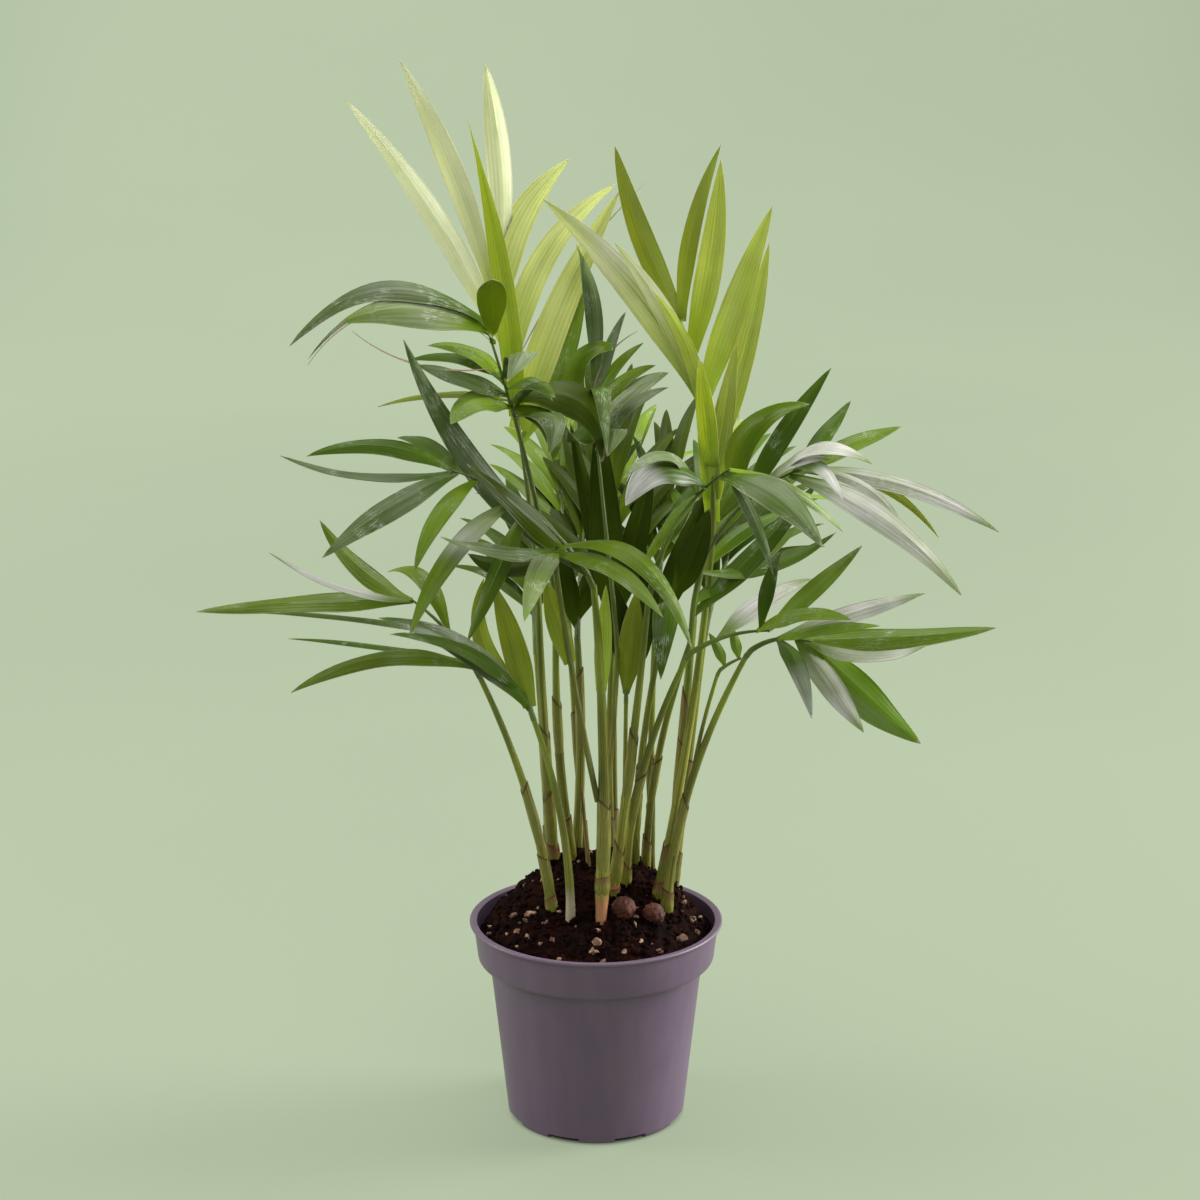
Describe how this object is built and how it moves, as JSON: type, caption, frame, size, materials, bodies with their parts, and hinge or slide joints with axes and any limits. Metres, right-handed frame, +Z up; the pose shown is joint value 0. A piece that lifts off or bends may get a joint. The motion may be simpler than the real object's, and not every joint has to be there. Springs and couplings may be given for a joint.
{
  "type": "potted palm",
  "caption": "Young parlour palm: a clump of slim green stems with arching feather fronds, in a round dark nursery pot filled with a mound of soil.",
  "frame": {"origin": "centre of the pot's flat underside", "axes": "+Z up along the stems, +X to the right and -Y to the front, the side the fuller fronds face"},
  "size_m": [0.3589, 0.2915, 0.4966],
  "materials": {
    "pot": "satin",
    "soil": "matte",
    "seed": "matte",
    "stem": "satin",
    "stem_dry": "matte",
    "frond_young": "satin",
    "frond_bright": "satin",
    "frond_deep": "satin",
    "frond_dark": "satin"
  },
  "bodies": {
    "root": {"frond_arching_left": "frond_deep", "frond_back_centre": "frond_dark", "frond_back_left": "frond_deep", "frond_back_right": "frond_dark", "frond_back_sheath": "frond_bright", "frond_centre": "frond_dark", "frond_centre_right": "frond_deep", "frond_fan": "frond_bright", "frond_far_right": "frond_deep", "frond_front_tuft": "frond_dark", "frond_inner_right": "frond_dark", "frond_long_left": "frond_dark", "frond_low_blade": "frond_deep", "frond_low_left": "frond_deep", "frond_lower_right": "frond_dark", "frond_rear_centre": "frond_deep", "frond_rear_inner": "frond_bright", "frond_rear_left": "frond_dark", "frond_rear_outer": "frond_dark", "frond_small_right": "frond_deep", "frond_upper_right": "frond_dark", "frond_young_left": "frond_young", "frond_young_right": "frond_bright", "pot": "pot", "seed_left": "seed", "seed_right": "seed", "soil": "soil", "stalk_centre_back": "stem", "stalk_centre_left": "stem", "stalk_fan": "stem", "stalk_right_short": "stem", "stem_back_centre": "stem", "stem_back_left": "stem", "stem_back_right": "stem", "stem_centre": "stem", "stem_centre_right": "stem", "stem_dry_spike": "stem_dry", "stem_left_front": "stem", "stem_left_inner": "stem", "stem_left_outer": "stem", "stem_left_tall": "stem", "stem_rear_centre": "stem", "stem_rear_inner": "stem", "stem_rear_left": "stem", "stem_rear_outer": "stem", "stem_right_front": "stem", "stem_right_inner": "stem", "stem_right_outer": "stem", "stem_right_sheath": "stem", "stem_right_slim": "stem", "stem_right_tall": "stem"}
  },
  "joints": []
}
